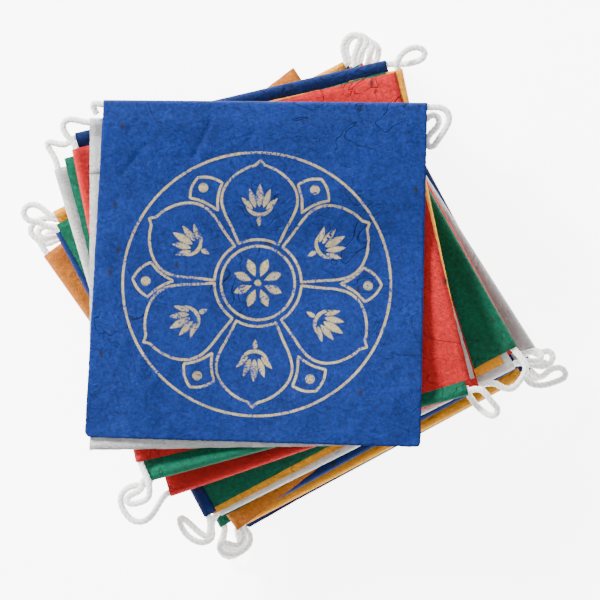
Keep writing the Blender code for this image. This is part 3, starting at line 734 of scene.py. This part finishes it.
# The print on the top flag: a pale gold lotus with six petals in a ring, screen printed, so it is
# a thin worn film that follows the paper. Plain lotus buds and a rosette fill its petals.
PRINT_RISE = 0.00003
LINE_HALF = 0.00056
LINE_STEP = 0.0006
BUD_DISTANCE, BUD_SIZE = 0.0300, 0.0150
ROSETTE_LEAVES = 8
ROSETTE_INNER, ROSETTE_OUTER, ROSETTE_HALF = 0.0026, 0.0098, 0.0017
EYE_RADIUS = 0.0014
RING_CENTRE, RING_RADII = (-0.0134, 0.0050), (0.0512, 0.0503)
HUB_CENTRE = (-0.0130, 0.0055)
HUB_RADIUS, PETAL_FOOT_RADIUS = 0.0141, 0.0166
PETAL_TIPS = ((-0.0120, 0.0524), (0.0297, 0.0285), (0.0287, -0.0192), (-0.0151, -0.0421),
              (-0.0567, -0.0170), (-0.0545, 0.0302))
PETAL_LENGTH = 0.0470
# half of a petal's outline: distance from the hub's centre, and out from the petal's middle
PETAL_HALF = ((0.0148, 0.0076), (0.0210, 0.0104), (0.0265, 0.0132), (0.0310, 0.0145), (0.0352, 0.0139),
              (0.0390, 0.0116), (0.0420, 0.0083), (0.0441, 0.0046), (0.0450, 0.0019), (0.0458, 0.0011),
              (0.0470, 0.0))
# the small pieces between the petals: dot, outer tip, two sides, inner tip
KITES = (
    ((-0.0338, 0.0419), (-0.0359, 0.0458), (-0.0266, 0.0438), (-0.0389, 0.0380), (-0.0283, 0.0331)),
    ((0.0088, 0.0410), (0.0113, 0.0451), (0.0023, 0.0430), (0.0142, 0.0369), (0.0038, 0.0323)),
    ((0.0291, 0.0044), (0.0343, 0.0048), (0.0274, 0.0113), (0.0279, -0.0017), (0.0187, 0.0052)),
    ((0.0069, -0.0312), (0.0092, -0.0358), (0.0129, -0.0276), (0.0002, -0.0338), (0.0023, -0.0225)),
    ((-0.0362, -0.0299), (-0.0389, -0.0342), (-0.0413, -0.0254), (-0.0297, -0.0319), (-0.0304, -0.0212)),
    ((-0.0558, 0.0063), (-0.0608, 0.0071), (-0.0539, 0.0134), (-0.0551, 0.0002), (-0.0453, 0.0063)),
)
DOT_RADIUS = 0.0019
top_mesh = sheets[1].data
top_faces = BVHTree.FromPolygons([vertex.co.copy() for vertex in top_mesh.vertices],
                                 [tuple(face.vertices) for face in top_mesh.polygons])
print_vertices, print_faces, print_across = [], [], []


def on_top_flag(x, y):
    hit = top_faces.ray_cast(Vector((x, y, 1.0)), Vector((0.0, 0.0, -1.0)))[0]
    return (x, y, hit.z + THICKNESS / 2 + PRINT_RISE)


def stroke(points, halves, closed=False):
    """A strip of print along points, with a half width at each; it has a middle line of its own."""
    points = np.array(points)
    count = len(points)
    base = len(print_vertices)
    for index in range(count):
        before = points[(index - 1) % count] if closed or index else points[0]
        after = points[(index + 1) % count] if closed or index < count - 1 else points[-1]
        way = (after - before) / max(np.linalg.norm(after - before), 1e-9)
        normal = np.array((-way[1], way[0]))
        ragged = 0.00010 * noise.noise(Vector((points[index][0] * 1800, points[index][1] * 1800, 3.0)))
        half = max(halves[index] + (ragged if halves[index] > 0.0003 else 0.0), 0.00002)
        for place in (-1.0, 0.0, 1.0):
            print_vertices.append(on_top_flag(*(points[index] + normal * place * half)))
            print_across.append(place)
    for index in range(count if closed else count - 1):
        a, b = base + 3 * index, base + 3 * ((index + 1) % count)
        print_faces.extend(((a, b, b + 1, a + 1), (a + 1, b + 1, b + 2, a + 2)))


def resampled(points, step):
    """Points a step apart round the closed outline through the given ones."""
    points = np.array(points)
    points = np.vstack((points, points[:1]))
    along = np.concatenate(([0.0], np.cumsum(np.linalg.norm(np.diff(points, axis=0), axis=1))))
    count = max(2, int(round(along[-1] / step)))
    marks = np.linspace(0.0, along[-1], count + 1)
    found = np.stack([np.interp(marks, along, points[:, axis]) for axis in range(2)], axis=1)
    return found[:-1]


def outline_stroke(points):
    line = resampled(points, LINE_STEP)
    stroke(line, [LINE_HALF] * len(line), closed=True)


def arc(centre, radius, start, end, steps):
    angles = np.linspace(start, end, steps)
    return [(centre[0] + radius * math.cos(a), centre[1] + radius * math.sin(a)) for a in angles]


def leaf(start, end, half_width, fullest=0.5):
    """A filled leaf from point to point, fullest at a share of its length."""
    start, end = np.array(start), np.array(end)
    steps = 16
    shares = np.linspace(0.0, 1.0, steps + 1)
    power = math.log(0.5) / math.log(fullest)
    halves = [half_width * max(math.sin(math.pi * share ** power), 0.0) ** 0.85 for share in shares]
    stroke([start + (end - start) * share for share in shares], halves)


def curl(centre, radius, start, end, half_width):
    """A filled stroke along an arc that thins towards both its ends."""
    line = arc(centre, radius, start, end, 22)
    stroke(line, [half_width * math.sin(math.pi * (0.06 + 0.88 * k / 21)) ** 0.6 for k in range(22)])


def dot(centre, radius):
    shares = np.linspace(-1.0, 1.0, 13)
    stroke([(centre[0] + radius * share, centre[1]) for share in shares],
           [radius * math.sqrt(max(1 - share * share, 0.0)) for share in shares])


def bud(place, turn, size):
    """A plain lotus bud: five leaves on a short curved base, with a drop under it."""
    def at(x, y):
        return (place[0] + size * (x * math.cos(turn) - y * math.sin(turn)),
                place[1] + size * (x * math.sin(turn) + y * math.cos(turn)))
    leaf(at(0.0, -0.06), at(0.0, 0.52), 0.105 * size, 0.45)
    for side in (-1, 1):
        leaf(at(side * 0.10, -0.08), at(side * 0.27, 0.40), 0.085 * size, 0.45)
        leaf(at(side * 0.17, -0.12), at(side * 0.46, 0.17), 0.070 * size, 0.45)
    curl(at(0.0, 0.10), 0.36 * size, turn - math.pi * 0.88, turn - math.pi * 0.12, 0.055 * size)
    leaf(at(0.0, -0.32), at(0.0, -0.56), 0.07 * size, 0.35)


outline_stroke([(RING_CENTRE[0] + RING_RADII[0] * math.cos(a), RING_CENTRE[1] + RING_RADII[1] * math.sin(a))
                for a in np.linspace(0.0, 2 * math.pi, 240, endpoint=False)])
outline_stroke(arc(HUB_CENTRE, HUB_RADIUS, 0.0, 2 * math.pi, 121)[:-1])
for tip in PETAL_TIPS:
    reach = math.hypot(tip[0] - HUB_CENTRE[0], tip[1] - HUB_CENTRE[1])
    turn = math.atan2(tip[1] - HUB_CENTRE[1], tip[0] - HUB_CENTRE[0])
    scale = reach / PETAL_LENGTH

    def petal_point(distance, out, turn=turn, scale=scale):
        stretch = 1 + (scale - 1) * eased((distance - 0.0148) / 0.02)
        return (HUB_CENTRE[0] + stretch * distance * math.cos(turn) - out * math.sin(turn),
                HUB_CENTRE[1] + stretch * distance * math.sin(turn) + out * math.cos(turn))

    half = [np.array(point) for point in PETAL_HALF[:-2]]
    half = [2 * half[0] - half[1], *half, 2 * half[-1] - half[-2]]
    curve = [tuple(point[:2]) for point in smooth_curve([(*p, 0.0) for p in half], LINE_STEP)]
    curve += list(PETAL_HALF[-2:])
    foot = math.atan2(PETAL_HALF[0][1], PETAL_HALF[0][0])
    foot_arc = [(PETAL_FOOT_RADIUS * math.cos(a), PETAL_FOOT_RADIUS * math.sin(a))
                for a in np.linspace(-foot, foot, 24)]
    outline = foot_arc[:-1] + curve + [(d, -o) for d, o in curve[-2::-1]][:-1]
    outline_stroke([petal_point(d, o) for d, o in outline])
    bud_place = (HUB_CENTRE[0] + BUD_DISTANCE * math.cos(turn),
                 HUB_CENTRE[1] + BUD_DISTANCE * math.sin(turn))
    bud(bud_place, turn - math.pi / 2, BUD_SIZE)
for centre, tip, side_a, side_b, inner in KITES:
    dot(centre, DOT_RADIUS)
    outline = []
    middle = np.mean([tip, side_a, side_b, inner], axis=0)
    for start, end, bow in ((tip, side_a, 0.10), (side_a, inner, -0.07), (inner, side_b, -0.07),
                            (side_b, tip, 0.10)):
        start, end = np.array(start), np.array(end)
        away = (start + end) / 2 - middle
        away /= np.linalg.norm(away)
        length = np.linalg.norm(end - start)
        for share in np.linspace(0.0, 1.0, 12, endpoint=False):
            outline.append(start + (end - start) * share + away * bow * length * math.sin(math.pi * share))
    outline_stroke(outline)
for k in range(ROSETTE_LEAVES):
    angle = 2 * math.pi * k / ROSETTE_LEAVES + math.pi / ROSETTE_LEAVES
    inner, outer = [(HUB_CENTRE[0] + radius * math.cos(angle), HUB_CENTRE[1] + radius * math.sin(angle))
                    for radius in (ROSETTE_INNER, ROSETTE_OUTER)]
    leaf(inner, outer, ROSETTE_HALF, 0.55)
dot(HUB_CENTRE, EYE_RADIUS)

print_mesh = bpy.data.meshes.new("gold_print")
print_mesh.from_pydata(print_vertices, [], print_faces)
print_mesh.polygons.foreach_set("use_smooth", [True] * len(print_faces))
across_attribute = print_mesh.attributes.new("across", "FLOAT", "POINT")
across_attribute.data.foreach_set("value", print_across)
gold_print = bpy.data.objects.new("gold_print", print_mesh)
bpy.context.scene.collection.objects.link(gold_print)

# Pale gold ink that has taken unevenly: the blue paper shows through in specks, and the edges
# of each line are darker.
ink = bpy.data.materials.new("gold_ink")
ink.use_nodes = True
nodes, links = ink.node_tree.nodes, ink.node_tree.links
shader = nodes["Principled BSDF"]
place = nodes.new("ShaderNodeTexCoord")
group = nodes.new("ShaderNodeGroup")
group.node_tree = paper_group
group.inputs["Dye"].default_value = (*DYES[0][1], 1.0)
group.inputs["Mottle"].default_value = DYES[0][2]
links.new(place.outputs["Object"], group.inputs["Place"])
speck = nodes.new("ShaderNodeTexNoise")
speck.inputs["Scale"].default_value = 1300.0
speck.inputs["Detail"].default_value = 3.0
links.new(place.outputs["Object"], speck.inputs["Vector"])
wear = nodes.new("ShaderNodeTexNoise")
wear.inputs["Scale"].default_value = 130.0
wear.inputs["Detail"].default_value = 3.0
links.new(place.outputs["Object"], wear.inputs["Vector"])
edge = nodes.new("ShaderNodeAttribute")
edge.attribute_name = "across"
edge_near = ranged(combined("ABSOLUTE", edge.outputs["Fac"], 0), 0.62, 0.98, 0.0, 1.0)
gold = mixed(ranged(speck.outputs["Fac"], 0.35, 0.65, 0.0, 1.0), (0.170, 0.135, 0.062, 1.0),
             (0.480, 0.405, 0.225, 1.0))
gold = mixed(combined("MULTIPLY", edge_near, 0.7), gold, (0.050, 0.040, 0.022, 1.0))
bare = combined("ADD", speck.outputs["Fac"], combined("MULTIPLY", wear.outputs["Fac"], 0.55))
bare = combined("ADD", bare, combined("MULTIPLY", edge_near, 0.08))
bare = ranged(bare, 0.83, 0.89, 0.0, 1.0)
links.new(mixed(bare, gold, group.outputs["Colour"]), shader.inputs["Base Color"])
shader.inputs["Roughness"].default_value = 0.6
bump = nodes.new("ShaderNodeBump")
bump.inputs["Strength"].default_value = 0.4
bump.inputs["Distance"].default_value = 0.0002
links.new(speck.outputs["Fac"], bump.inputs["Height"])
links.new(bump.outputs["Normal"], shader.inputs["Normal"])
print_mesh.materials.append(ink)
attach(gold_print, "root")
